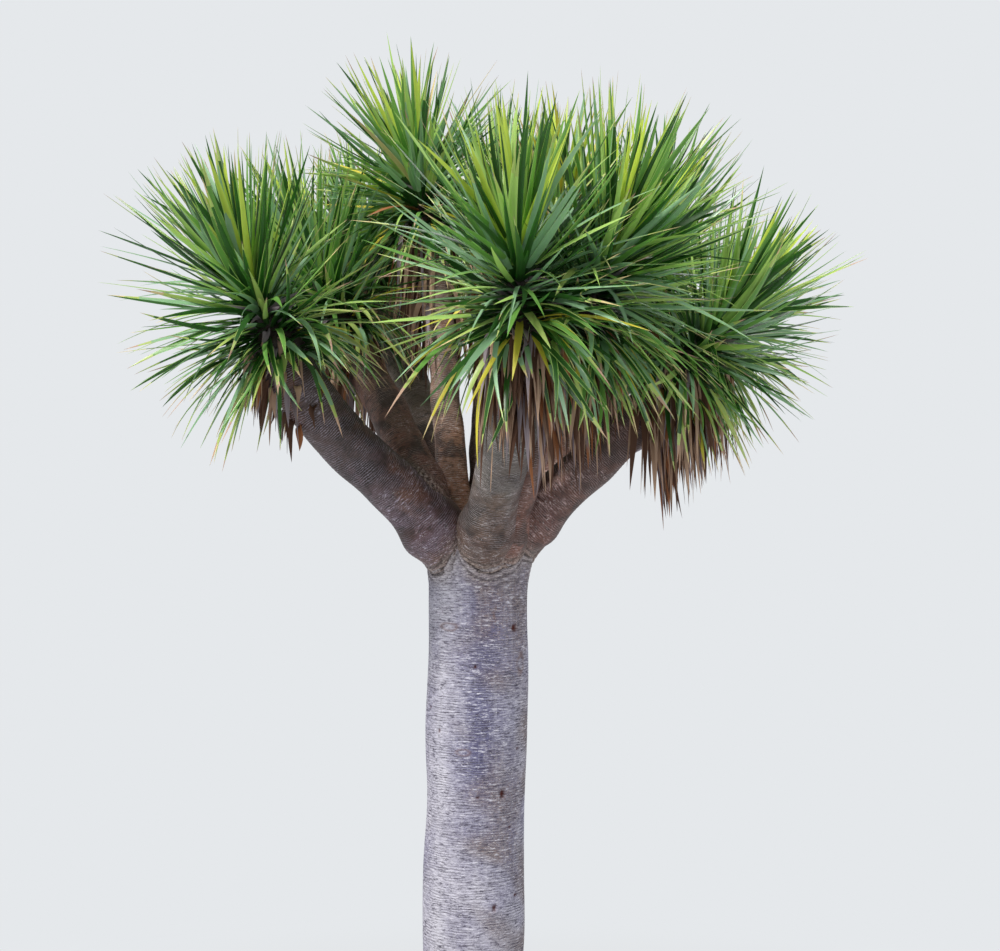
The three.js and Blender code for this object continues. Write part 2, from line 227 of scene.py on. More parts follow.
# Studio
SKY_COLOUR = (229, 232, 235)
SKY_LIGHT = 0.38
FLOOR_COLOUR = (205, 204, 202)
FLOOR_RADIUS = 60
FLOOR_SIDES = 96
FLOOR_FADE = (0.8, 4.3)  # metres from the trunk
# Lamps: name, place, the point it is aimed at, size, watts and colour
LAMPS = [
    ("key", (-7.0, -7.0, 13.0), (0, 0, 2.6), 2.2, 2300, (1.0, 0.98, 0.94)),
    ("fill", (7.0, -5.0, 8.0), (0.4, 0, 3.0), 4.0, 330, (0.96, 0.98, 1.0)),
    ("back", (1.5, 4.5, 8.5), (0, 0, 2.8), 3.0, 120, (1, 1, 1)),
]


def unit(vectors):
    """Vectors divided by their own lengths."""
    return vectors / np.linalg.norm(vectors, axis=-1, keepdims=True)


def direction(tilt, heading):
    """Unit vector at an angle from the vertical, towards a heading about it:
    (sin tilt · cos heading, sin tilt · sin heading, cos tilt)."""
    tilt, heading = math.radians(tilt), math.radians(heading)
    flat = math.sin(tilt)
    return np.array([flat * math.cos(heading), flat * math.sin(heading), math.cos(tilt)])


def eased(values, low, high):
    """0 below low, 1 above high, and 3x² - 2x³ of the share x between them."""
    share = np.clip((values - low) / (high - low), 0, 1)
    return share * share * (3 - 2 * share)


def waves(around, along, seed, turns, lengths):
    """Smooth seeded relief, mostly between -1 and 1: the sum of WAVE_COUNT cosines, each with a whole number
    of turns round the limb, a wavelength along it and a phase of its own, over the root of their count."""
    rng = np.random.default_rng(seed)
    total = 0
    for _ in range(WAVE_COUNT):
        turn = rng.integers(-turns, turns + 1)
        length = rng.uniform(*lengths)
        total = total + np.cos(turn * around + 2 * np.pi * along / length + rng.uniform(0, 2 * np.pi))
    return total / math.sqrt(WAVE_COUNT)


def scars(around, along, seed, pitch):
    """Where the leaf scars lie. The phase along / pitch, shifted by slow waves, is a whole number in each
    groove. Two such sets trade places in patches, so that scars end, fork and meet, and a third wave fades
    them here and there."""
    slow = [0.45 * waves(around, along, seed + offset, 3, (0.20, 0.90)) for offset in (0, 1)]
    fine = [0.22 * waves(around, along, seed + 5 + offset, 13, (0.03, 0.10)) for offset in (0, 1)]
    return {
        "phase": along / pitch + slow[0] + fine[0],
        "other": along / (pitch * 1.09) + slow[1] + fine[1],
        "patch": eased(waves(around, along, seed + 2, 5, (0.05, 0.25)), -0.12, 0.12),
        "fade": 0.2 + 0.8 * eased(waves(around, along, seed + 3, 7, (0.03, 0.20)), -1.0, 0.6),
    }


def bell(values):
    """exp(-x²): 1 at 0, and less on both sides."""
    return np.exp(-(values ** 2))


def grooves(fields, coarser=1):
    """Depth of the grooves, 0 to 1: exp(-(d / share)²), where d is how far a phase lies from a whole
    number, for both sets of scars in their patches."""
    depth = []
    for phase in (fields["phase"] / coarser, fields["other"] / coarser):
        depth.append(bell((phase - np.round(phase)) / GROOVE_SHARE))
    return (depth[0] * fields["patch"] + depth[1] * (1 - fields["patch"])) * fields["fade"]


def tube_faces(rows, columns):
    """Faces of a closed tube whose ring r, column c is vertex r · columns + c, followed by a pole for the
    first ring and one for the last: quads between the rings, and a fan of triangles to each pole."""
    row, column = np.meshgrid(np.arange(rows - 1), np.arange(columns), indexing="ij")
    here = row * columns + column
    beside = row * columns + (column + 1) % columns
    quads = np.stack([here, beside, beside + columns, here + columns], -1).reshape(-1, 4)
    edge = np.arange(columns)
    following = (edge + 1) % columns
    last = (rows - 1) * columns
    pole = np.full(columns, rows * columns)
    fans = np.concatenate([
        np.stack([pole, following, edge], -1),
        np.stack([pole + 1, last + edge, last + following], -1),
    ])
    return quads, fans


def add_object(name, data):
    """A new object in the scene."""
    made = bpy.data.objects.new(name, data)
    bpy.context.scene.collection.objects.link(made)
    return made


def make_piece(name, points, quads, triangles, finishes, nodes, kinds=None, fields=None):
    """One piece of the tree, with a finish for each face, and fields that a finish reads at each point. It
    rides on the tree, and the named nodes are hidden."""
    mesh = bpy.data.meshes.new(name)
    corners = np.concatenate([quads.ravel(), triangles.ravel()]).astype(np.int32)
    sizes = np.repeat([4, 3], [len(quads), len(triangles)])
    starts = (np.cumsum(sizes) - sizes).astype(np.int32)
    mesh.vertices.add(len(points))
    mesh.vertices.foreach_set("co", points.astype(np.float32).ravel())
    mesh.loops.add(len(corners))
    mesh.loops.foreach_set("vertex_index", corners)
    mesh.polygons.add(len(sizes))
    mesh.polygons.foreach_set("loop_start", starts)
    for finish in finishes:
        mesh.materials.append(finish)
    if kinds is not None:
        mesh.polygons.foreach_set("material_index", kinds.astype(np.int32))
    mesh.update(calc_edges=True)
    mesh.shade_smooth()
    for field, values in (fields or {}).items():
        kind, channel = ("FLOAT_VECTOR", "vector") if values.ndim == 2 else ("FLOAT", "value")
        made = mesh.attributes.new(field, kind, "POINT")
        made.data.foreach_set(channel, values.astype(np.float32).ravel())
    piece = add_object(name, mesh)
    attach(piece, BODY)
    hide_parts(*nodes)
    return piece


class Value:
    """A number that changes over a surface. Arithmetic on values adds the Math nodes for it."""

    def __init__(self, nodes, socket):
        self.nodes, self.socket = nodes, socket

    def _math(self, operation, first, second):
        return self.nodes.node("Math", {0: first, 1: second}, operation=operation)

    def __add__(self, other):
        return self._math("ADD", self, other)

    def __sub__(self, other):
        return self._math("SUBTRACT", self, other)

    def __rsub__(self, other):
        return self._math("SUBTRACT", other, self)

    def __mul__(self, other):
        return self._math("MULTIPLY", self, other)

    def off_whole(self):
        """How far it lies from the nearest whole number."""
        return self._math("PINGPONG", self, 0.5)

    __radd__ = __add__
    __rmul__ = __mul__


class Nodes:
    """The nodes of a material or of the world."""

    def __init__(self, owner):
        owner.use_nodes = True
        self.tree = owner.node_tree

    def node(self, kind, inputs, output=0, **settings):
        """Adds a node, sets it up, then fills or links its sockets."""
        made = self.tree.nodes.new("ShaderNode" + kind)
        for setting, value in settings.items():
            setattr(made, setting, value)
        for key, value in inputs.items():
            if isinstance(value, Value):
                self.tree.links.new(value.socket, made.inputs[key])
            else:
                made.inputs[key].default_value = value
        return Value(self, made.outputs[output])

    def surface(self, shader):
        """Hands a shader to the output."""
        output = next(n for n in self.tree.nodes if n.type.startswith("OUTPUT"))
        self.tree.links.new(shader.socket, output.inputs["Surface"])


class Finish(Nodes):
    """A material in the making, from constants of its shader's sockets."""

    def __init__(self, name, constants):
        self.material = bpy.data.materials.new(name)
        super().__init__(self.material)
        self.shader = next(n for n in self.tree.nodes if n.type == "BSDF_PRINCIPLED")
        for socket, value in constants.items():
            self.shader.inputs[socket].default_value = value

    def field(self, name, output="Fac"):
        """What make_piece() was given under this name."""
        return self.node("Attribute", {}, output, attribute_name=name)

    def noise(self, scale, detail, rough, stretch=(1, 1, 1)):
        """Noise on the limb as if it stood straight, stretched across it, across it and along it."""
        place = self.node("Mapping", {"Vector": self.field("skin", "Vector"), "Scale": stretch})
        inputs = {"Vector": place, "Scale": scale, "Detail": detail, "Roughness": rough}
        return self.node("TexNoise", inputs)

    def step(self, value, low, high):
        """0 at low, 1 at high, with a smooth change between."""
        inputs = {"Value": value, "From Min": low, "From Max": high}
        return self.node("MapRange", inputs, interpolation_type="SMOOTHSTEP")

    def mix(self, share, first, second):
        """Colour between first and second by a share of the second."""
        return self.node("Mix", {0: share, 6: first, 7: second}, 2, data_type="RGBA")

    def painted(self, colour, layers, roughness, height):
        """The material. Its layers, each a share and a colour, are laid over a colour in turn."""
        for share, tint in layers:
            colour = self.mix(share, colour, tint)
        relief = self.node("Bump", {"Height": height, "Strength": 0.5, "Distance": 0.003})
        for socket, value in (("Base Color", colour), ("Roughness", roughness), ("Normal", relief)):
            self.tree.links.new(value.socket, self.shader.inputs[socket])
        return self.material


def shade(red, green, blue):
    """A colour as it is seen, 0 to 255, as the linear light that a shader takes."""
    seen = np.array([red, green, blue]) / 255
    light = np.where(seen <= 0.04045, seen / 12.92, ((seen + 0.055) / 1.055) ** 2.4)
    return (*light.tolist(), 1.0)


def scar_lines(bark, jitter):
    """Dark grooves, partly painted shade, and painted highlights on the lips of the leaf scars, each 0 to 1,
    from the fields that scars() gives. A fine noise roughens their edges."""
    groove_line_and_shade, lip_highlight = [], []
    for name in ("phase", "other"):
        phase = bark.field(name) + jitter
        groove_line_and_shade.append(bark.step(phase.off_whole(), 0.26, 0.02))
        lip_highlight.append(bark.step((phase - 0.3).off_whole(), 0.22, 0.02))
    patch, fade = bark.field("patch"), bark.field("fade")
    return tuple((one[0] * patch + one[1] * (1 - patch)) * fade for one in (groove_line_and_shade, lip_highlight))


def collar_layers(bark, grain, share, dull, bright, shadow):
    """The collar at a seat, rough between a dull and a bright colour, and the shadow in its creases."""
    rough = bark.mix(bark.step(grain, 0.36, 0.62), shade(*dull), shade(*bright))
    crease = bark.field("crease") * (0.5 + bark.step(grain, 0.66, 0.42) * 0.5)
    return (bark.field("collar") * share, rough), (crease, shade(*shadow))


def trunk_finish():
    """Silvery lavender bark with level wrinkles, dark grooves that are partly painted shade, painted
    highlights on the lips of the scars, brown stains, a darker band down one side, a painted highlight down
    the side that faces the key lamp, folds round the seats of the boughs and dark red-brown pits."""
    bark = Finish("trunk_bark", {"Specular IOR Level": 0.3})
    stain = bark.field("stain")
    patch = bark.noise(5.0, detail=4, rough=0.6)
    wrinkle = bark.noise(38, detail=5, rough=0.76, stretch=(1, 1, 5.2))
    grain = bark.noise(120, detail=4, rough=0.8, stretch=(1, 1, 2.4))
    drip = bark.noise(22, detail=3, rough=0.6, stretch=(1, 1, 0.12))
    seam = bark.noise(75, detail=3, rough=0.6, stretch=(1, 1, 0.08))
    groove_line_and_shade, lip_highlight = scar_lines(bark, (grain - 0.5) * 1.4)
    ground = bark.mix(bark.step(patch, 0.36, 0.64), shade(152, 149, 172), shade(186, 183, 198))
    layers = [
        (bark.field("band") * 0.85, shade(82, 82, 122)),
        # painted highlight: a pale stripe down the side of the trunk that faces the key lamp
        (bark.field("gleam") * 0.55, shade(222, 220, 230)),
        (bark.step(drip, 0.50, 0.72) * 0.30, shade(206, 203, 212)),
        (stain * bark.step(patch, 0.30, 0.56) * 0.75, shade(120, 106, 102)),
        (stain * bark.step(grain, 0.48, 0.60) * 0.90, shade(104, 74, 56)),
        (bark.step(wrinkle, 0.49, 0.38) * 0.86, shade(62, 57, 76)),
        (bark.step(wrinkle, 0.54, 0.63) * 0.80, shade(224, 222, 234)),
        # painted highlights on the scar lips, then the dark grooves, partly painted shade
        (lip_highlight * 0.28, shade(206, 204, 218)),
        (groove_line_and_shade * 0.50, shade(62, 57, 72)),
        (bark.step(seam, 0.50, 0.72) * 0.16, shade(206, 204, 214)),
        (bark.step(grain, 0.57, 0.68) * 0.75, shade(236, 234, 242)),
        (bark.step(grain, 0.45, 0.34) * 0.75, shade(52, 46, 58)),
        (bark.field("healed") * 0.55, shade(112, 82, 70)),
        *collar_layers(bark, grain, 0.7, (100, 82, 76), (210, 200, 196), (40, 27, 22)),
        (bark.field("pit"), shade(74, 24, 14)),
    ]
    height = grain * 0.5 + wrinkle * 0.8 - groove_line_and_shade * 0.6 + lip_highlight * 0.2
    return bark.painted(ground, layers, 0.60 + grain * 0.3, height)


# Bark of a bough at its foot, towards its head, in its warm patches and in its silvery dashes, the silver
# also painting highlights on the lips of its rings
BARKS = {
    "plum": ((104, 82, 94), (80, 62, 60), (128, 80, 52), (206, 196, 216)),
    "umber": ((106, 68, 62), (76, 52, 46), (124, 76, 58), (214, 188, 188)),
    "grey": ((94, 70, 62), (104, 100, 94), (112, 80, 56), (214, 208, 212)),
    "rose": ((192, 142, 114), (142, 112, 96), (176, 112, 76), (242, 232, 230)),
    "rust": ((120, 72, 56), (132, 98, 88), (148, 84, 54), (212, 190, 188)),
    "sand": ((112, 92, 78), (136, 120, 108), (126, 90, 66), (196, 186, 180)),
}


def bough_finish(name, low, high, warm, silver):
    """Bark of a bough: one colour at the foot and another towards the head, warm brown patches, dark clouds,
    crevices stained and darkened by painted shade, silvery dashes along the rings, painted highlights on
    their lips, dark grooves between them that are partly painted shade, a folded collar with painted shadow
    in its creases, and painted shade at the top and up the stem, under the head."""
    bark = Finish(f"bark_{name}", {"Specular IOR Level": 0.6})
    rise = bark.field("rise")
    patch = bark.noise(6.5, detail=4, rough=0.55)
    wrinkle = bark.noise(42, detail=6, rough=0.76, stretch=(1, 1, 4.2))
    grain = bark.noise(170, detail=3, rough=0.7, stretch=(1, 1, 1.7))
    cloud = bark.noise(9, detail=4, rough=0.6)
    groove_line_and_shade, lip_highlight = scar_lines(bark, (grain - 0.5) * 1.2)
    light = bark.step(cloud + (0.35 - rise) * 0.22, 0.46, 0.60)
    ground = bark.mix(bark.step(rise + (patch - 0.5) * 0.8, 0.12, 0.55), shade(*low), shade(*high))
    layers = [
        (bark.step(patch, 0.50, 0.68) * 0.65, shade(*warm)),
        (bark.step(cloud, 0.52, 0.40) * 0.80, shade(38, 27, 22)),
        # crevices next to other boughs: a reddish-brown stain together with painted shade
        (bark.field("hollow") * 0.85, shade(92, 48, 30)),
        (bark.step(wrinkle, 0.49, 0.37) * 0.80, shade(30, 21, 19)),
        # painted highlights in silver on the scar lips, then the dark grooves, partly painted shade
        (lip_highlight * 0.40, shade(*silver)),
        (groove_line_and_shade * 0.42, shade(32, 23, 21)),
        (bark.step(wrinkle, 0.54, 0.66) * light * 0.95, shade(*silver)),
        (bark.step(grain, 0.60, 0.70) * light * 0.85, shade(230, 222, 222)),
        *collar_layers(bark, grain, 0.65, (84, 62, 54), (204, 188, 180), (34, 22, 18)),
        # painted shade at the top of the bough and up the stem, under the head's leaves
        (bark.step(rise, 0.93, 1.0) * 0.9, shade(44, 31, 24)),
    ]
    height = grain * 0.5 + wrinkle * 0.6 - groove_line_and_shade * 0.7 + lip_highlight * 0.3
    return bark.painted(ground, layers, 0.40 + grain * 0.4, height)


DRY_ROUGHNESS = 0.6  # leaves this rough are dead
# Leaf colours, with how rough each is
LEAF_COLOURS = {
    # young spears: their own yellow-green, made brighter as painted light shining through them
    "spear": ((192, 216, 82), 0.42),
    "fresh": ((166, 204, 108), 0.38),
    "green": ((102, 150, 70), 0.34),
    "deep": ((38, 78, 28), 0.34),
    "blue": ((136, 175, 136), 0.33),
    "olive": ((166, 188, 104), 0.38),
    "yellow": ((204, 194, 66), 0.50),
    "straw": ((214, 194, 140), 0.62),
    "tan": ((188, 156, 132), 0.72),
    "rust": ((156, 100, 62), 0.74),
    "brown": ((92, 62, 46), 0.78),
    "grey": ((146, 134, 140), 0.80),
}
KIND = {name: index for index, name in enumerate(LEAF_COLOURS)}


def leaf_finish(name, colour, roughness):
    """A leaf's skin in one plain colour. Some light passes through a living leaf."""
    alive = roughness < DRY_ROUGHNESS
    constants = {
        "Base Color": shade(*colour), "Roughness": roughness, "Specular IOR Level": 0.45,
        "Subsurface Weight": 0.14 if alive else 0, "Subsurface Scale": 0.010,
        "Subsurface Radius": (0.55, 1.0, 0.25),
    }
    return Finish(f"leaf_{name}", constants).material


def along_curve(controls, shares):
    """Points and directions of a cubic curve at shares of its own length. B(t) = (1-t)³P0 + 3(1-t)²tP1 +
    3(1-t)t²P2 + t³P3, with t read off the length measured along LINE_STEPS points."""
    def at(t):
        t = np.asarray(t)[..., None]
        rest = 1 - t
        point = (rest ** 3 * controls[0] + 3 * rest ** 2 * t * controls[1]
                 + 3 * rest * t ** 2 * controls[2] + t ** 3 * controls[3])
        slope = (rest ** 2 * (controls[1] - controls[0]) + 2 * rest * t * (controls[2] - controls[1])
                 + t ** 2 * (controls[3] - controls[2]))
        return point, unit(slope)
    t = np.linspace(0, 1, LINE_STEPS + 1)
    steps = np.linalg.norm(np.diff(at(t)[0], axis=0), axis=1)
    length = np.concatenate([[0], np.cumsum(steps)])
    return (*at(np.interp(np.asarray(shares) * length[-1], length, t)), length[-1])


def girth_at(girth, share):
    """Radius of a bough: low·r² + 2(2·waist - (low + high)/2)·r·s + high·s², with r = 1 - s."""
    low, waist, high = girth
    rest = 1 - share
    return low * rest * rest + 2 * (2 * waist - (low + high) / 2) * rest * share + high * share * share


def lay_out(row, grown):
    """Places one bough: the control points of its centre line, its tip, the axis of its head and the middle
    of its head's own space."""
    axis = direction(row["tilt"], row["facing"])
    flat = direction(90, row["heading"])
    tip = FORK + flat * row["reach"] + UP * row["rise"] - axis * HEART * STEM_LENGTH
    if "parent" in row:
        foot = along_curve(grown[row["parent"]]["controls"], row["along"])[0]
    else:
        foot = FORK + flat * SEAT_OFFSET
        foot[2] += row["girth"][0] * math.sin(math.radians(row["launch"])) - row["sink"]
    span = np.linalg.norm(tip - foot)
    controls = np.array([
        foot,
        foot + direction(row["launch"], row["heading"]) * LAUNCH_PULL * span,
        tip - axis * FINISH_PULL * span,
        tip,
    ])
    share = np.linspace(0, 1, SKIN_SAMPLES)
    line, _, length = along_curve(controls, share)
    skin = girth_at(row["girth"], share)
    return {**row, "axis": axis, "tip": tip, "controls": controls, "length": length, "line": line,
            "skin": skin, "space": tip + axis * SPACE_HEART * row["leaf"]}


def off_bough(points, bough):
    """How far points lie outside a bough: the least distance to its centre line less the radius there."""
    shape = points.shape[:-1]
    flat = points.reshape(-1, 3)
    nearest = np.inf
    for centre, radius in zip(bough["line"], bough["skin"]):
        nearest = np.minimum(nearest, np.linalg.norm(flat - centre, axis=1) - radius)
    return nearest.reshape(shape)


def trunk_radius(height):
    """Radius up the trunk: a slow swell about its mean, and a flare that grows with the cube of the depth
    below the top of the flare."""
    low = np.maximum(0, 1 - height / FLARE_HEIGHT)
    swell = 1 + TRUNK_SWELL * np.sin(2 * np.pi * height / SWELL_SPACING)
    return TRUNK_RADIUS * swell + FLARE_WIDTH * low ** 3


def off_trunk(points):
    """How far points lie outside the trunk: from the side of the shaft, or above the fork from the dome."""
    height = points[..., 2]
    flat = np.hypot(points[..., 0] - TRUNK_LEAN * height / FORK_HEIGHT, points[..., 1])
    beside = flat - trunk_radius(np.minimum(height, FORK_HEIGHT))
    above = np.maximum(height - FORK_HEIGHT, 0)
    dome = (np.hypot(flat / TRUNK_RADIUS, above / DOME_HEIGHT) - 1) * DOME_HEIGHT
    return np.where(height > FORK_HEIGHT, np.maximum(dome, beside), beside)


def folded(relief, fields, off, around, along, seed):
    """Relief with the collar round a seat, from the distance off the neighbouring skin. The collar is
    bell(distance / COLLAR_REACH): it smooths the relief, swells by its rise and sinks in wavy folds that run
    round the seat. The fields take it up too."""
    collar = bell(np.maximum(off, 0) / COLLAR_REACH)
    phase = off / FOLD_PITCH + 0.30 * waves(around, along, seed, 6, (0.05, 0.25))
    phase = phase + 0.10 * waves(around, along, seed + 1, 20, (0.02, 0.08))
    crease = collar * (0.5 - 0.5 * np.cos(2 * np.pi * phase)) ** 2
    fields.update(fade=fields["fade"] * (1 - collar), crease=crease, collar=collar)
    return relief * (1 - COLLAR_CALM * collar) + (COLLAR_RISE * collar - FOLD_DEPTH * crease)


# Pits and short healed cuts in the trunk: heading in degrees, height, half width, half height and depth
PITS = [
    (-44, 2.064, 0.012, 0.012, 0.006),
    (-92, 1.954, 0.005, 0.005, 0.004),
    (-57, 1.581, 0.009, 0.013, 0.006),
    (-151, 1.828, 0.004, 0.005, 0.004),
    (-134, 1.764, 0.004, 0.007, 0.004),
    (-36, 1.710, 0.004, 0.005, 0.004),
    (-87, 1.575, 0.004, 0.004, 0.004),
    (-46, 1.482, 0.005, 0.004, 0.004),
    (-36, 1.279, 0.006, 0.005, 0.004),
    (-66, 1.253, 0.005, 0.012, 0.005),
    (64, 1.905, 0.006, 0.009, 0.005),
    (142, 1.390, 0.005, 0.007, 0.004),
    (101, 2.010, 0.004, 0.005, 0.004),
]
# Healed oval scars: heading in degrees, height, half width and half height
SCARS = [
    (-125, 2.068, 0.028, 0.011),
    (-33, 1.958, 0.015, 0.030),
    (-70, 2.104, 0.004, 0.021),
    (-104, 1.705, 0.020, 0.009),
    (20, 1.820, 0.018, 0.026),
    (150, 1.980, 0.022, 0.012),
]


def off_heading(around, heading):
    """Angle from a heading in degrees to places round the trunk, between -π and π."""
    return np.angle(np.exp(1j * (around - math.radians(heading))))


def mark_reach(around, height, heading, level, half_width, half_height):
    """How far places on the trunk lie from a mark's middle, in its half sizes: the hypotenuse of the angle
    off its heading · trunk radius / half width and the height off its level / half height."""
    aside = off_heading(around, heading) * TRUNK_RADIUS / half_width
    return np.hypot(aside, (height - level) / half_height)


def trunk_bark(boughs):
    """Bark of the trunk. At height z and angle a the point stands off the leaned centre line by
    radius(z) · (1 + lobe(z) · cos 5a), plus the relief along the outward direction; over the fork the same
    ring closes in by the cosine of a quarter turn while it rises by its sine. The columns crowd towards
    the viewer, at a = c - COLUMN_CROWDING · cos c with c spread evenly."""
    climb = FORK_HEIGHT * np.linspace(0, 1, SHAFT_ROWS) ** SHAFT_CROWDING
    turn = np.linspace(0, np.pi / 2, DOME_ROWS + 2)[1:-1]
    height = np.concatenate([climb, FORK_HEIGHT + DOME_HEIGHT * np.sin(turn)])[:, None]
    radius = np.concatenate([trunk_radius(climb), trunk_radius(FORK_HEIGHT) * np.cos(turn)])[:, None]
    upward = np.concatenate([np.zeros(SHAFT_ROWS), np.sin(turn)])[:, None]
    around = np.linspace(-np.pi / 2, 3 * np.pi / 2, TRUNK_COLUMNS, endpoint=False)[None, :]
    around = around - COLUMN_CROWDING * np.cos(around)
    low = np.maximum(0, 1 - height / FLARE_HEIGHT)
    radius = radius * (1 + ROOT_LOBE_DEPTH * low ** 2 * np.cos(ROOT_LOBES * around))
    lean = TRUNK_LEAN * height / FORK_HEIGHT
    smooth = np.stack([lean + radius * np.cos(around), radius * np.sin(around), height + 0 * around], -1)

    fields = scars(around, height, SEED, TRUNK_PITCH)
    relief = TRUNK_WAVE * waves(around, height, SEED + 20, 3, (0.25, 0.80))
    relief = relief - TRUNK_RING_DEPTH * grooves(fields)
    pit = 0
    for *place, depth in PITS:
        reach = mark_reach(around, height, *place)
        hollow = np.exp(-(reach ** 4))
        relief = relief - depth * hollow + PIT_LIP * bell((reach - 1.35) / 0.35)
        pit = np.maximum(pit, hollow)
    healed = 0
    ragged = 0.12 * waves(around, height, SEED + 60, 20, (0.02, 0.06))
    for place in SCARS:
        reach = mark_reach(around, height, *place) + ragged
        rim = bell((reach - 1) / 0.24)
        relief = relief + SCAR_RIM * rim
        healed = np.maximum(healed, rim)
    off = np.min([off_bough(smooth, bough) for bough in boughs if "parent" not in bough], axis=0)
    relief = folded(relief, fields, off, around, height, SEED + 40) * np.minimum(1, height / 0.01)

    risen = eased(height + 0.12 * waves(around, height, SEED + 50, 3, (0.2, 0.7)), *BAND_RISE)
    band = bell(off_heading(around, BAND_HEADING) / BAND_WIDTH) * risen
    # Painted highlight: a pale stripe down the side of the trunk that faces the key lamp
    gleam = bell(off_heading(around, PAINTED_HIGHLIGHT_HEADING) / PAINTED_HIGHLIGHT_WIDTH)
    gleam = gleam * (0.75 + 0.25 * waves(around, height, SEED + 70, 3, (0.2, 0.6)))
    stain = np.cos(around - math.radians(STAIN_HEADING))
    stain = stain + 0.7 * waves(around, height, SEED + 30, 4, (0.15, 0.6))
    stain = stain + 0.9 * eased(height, *TOP_RISE) * np.cos(around - math.radians(TOP_HEADING))
    stain = eased(stain, 0.25, 1.5)
    level = np.sqrt(1 - upward ** 2)
    outward = np.stack([np.cos(around) * level, np.sin(around) * level, upward + 0 * around], -1)
    points = (smooth + relief[..., None] * outward).reshape(-1, 3)
    poles = np.array([[0, 0, 0], [TRUNK_LEAN, 0, FORK_HEIGHT + DOME_HEIGHT]])
    fields.update(pit=pit, stain=stain, band=band, gleam=gleam, healed=healed)
    fields = {name: np.append(values, [0, 0]) for name, values in fields.items()}
    fields["skin"] = np.concatenate([smooth.reshape(-1, 3), poles])
    quads, fans = tube_faces(SHAFT_ROWS + DOME_ROWS, TRUNK_COLUMNS)
    make_piece("trunk_bark", np.concatenate([points, poles]), quads, fans, [trunk_finish()],
               ["trunk"], fields=fields)


def bough_bark(bough, boughs, finish, seed):
    """Bark of a bough. At distance d along the centre line and angle a about it the point stands off the
    line by the girth plus the relief, along cos a · side + sin a · over, where side is level and over is
    square to it. Past the tip the line runs on up the head's stem, and the girth closes in on it."""
    body = np.linspace(0, 1, int(bough["length"] / BOUGH_ROW))
    line, tangent, length = along_curve(bough["controls"], body)
    climb = np.linspace(0, 1, STEM_ROWS + 1)[1:]
    stem = bough["tip"] + bough["axis"] * STEM_LENGTH * climb[:, None]
    shoulder = eased(climb, 0, SHOULDER)
    post = STEM_RADIUS + (STEM_TOP_RADIUS - STEM_RADIUS) * climb
    bulge = 1 + FOOT_BULGE * bell((body * length - BULGE_PLACE) / BULGE_REACH)
    shaft = girth_at(bough["girth"], body) * bulge
    radius = np.concatenate([shaft, shaft[-1] * (1 - shoulder) + post * shoulder])
    line = np.concatenate([line, stem])
    tangent = np.concatenate([tangent, np.repeat(bough["axis"][None], len(climb), 0)])
    level = np.cross(direction(90, bough["heading"]), UP)
    side = unit(level - (tangent @ level)[:, None] * tangent)
    over = np.cross(tangent, side)
    along = np.concatenate([body * length, length + climb * STEM_LENGTH])[:, None]
    around = np.linspace(0, 2 * np.pi, BOUGH_COLUMNS, endpoint=False)[None, :]
    outward = np.cos(around)[..., None] * side[:, None] + np.sin(around)[..., None] * over[:, None]
    smooth = line[:, None] + radius[:, None, None] * outward

    fields = scars(around, along, seed, BOUGH_PITCH)
    relief = BOUGH_WAVE * waves(around, along, seed + 20, 3, (0.12, 0.45))
    relief = relief - BOUGH_RING_DEPTH * grooves(fields, coarser=2)
    off = off_trunk(smooth)
    if "parent" in bough:
        off = np.minimum(off, off_bough(smooth, next(b for b in boughs if b["name"] == bough["parent"])))
    relief = folded(relief, fields, off, around, along, seed + 40)
    points = (smooth + relief[..., None] * outward).reshape(-1, 3)
    poles = np.array([line[0], line[-1] + bough["axis"] * CROWN])
    # Crevices next to other boughs: a reddish-brown stain, deepened by painted shade where little light
    # reaches
    apart = np.min([off_bough(smooth, other) for other in boughs if other is not bough], axis=0)
    wave = 1 + 0.5 * waves(around, along, seed + 60, 4, (0.05, 0.30))
    hollow = np.exp(-np.maximum(apart, 0) / (CREVICE * np.maximum(wave, 0.3)))
    fields.update(hollow=hollow, rise=along / length + 0 * around)
    fields = {name: np.append(values, [0, 1]) for name, values in fields.items()}
    radius = radius[:, None]
    upright = np.stack([radius * np.cos(around), radius * np.sin(around), along + 0 * around], -1)
    upright = upright + bough["tip"]
    fields["skin"] = np.concatenate([upright.reshape(-1, 3), upright[[0, -1], 0]])
    quads, fans = tube_faces(len(line), BOUGH_COLUMNS)
    make_piece(f"bark_{bough['name']}", np.concatenate([points, poles]), quads, fans, [finish],
               [f"bough_{bough['name']}"], fields=fields)


# Section of a leaf from one edge under the blade to the other edge and back over it: how far out each
# corner lies, and on which face
SECTION_OUT = np.array([-1, -0.86, 0, 0.86, 1, 0.86, 0, -0.86])
SECTION_FACE = np.array([0, -0.6, -1, -0.6, 0, 0.6, 1, 0.6])
MARGIN_STRIPS = np.array([True, False, False, True, True, False, False, True])
STATIONS = np.array([0, 0.07, 0.18, 0.31, 0.45, 0.59, 0.72, 0.83, 0.91, 0.97])
SHARP_ANGLE = math.radians(48)


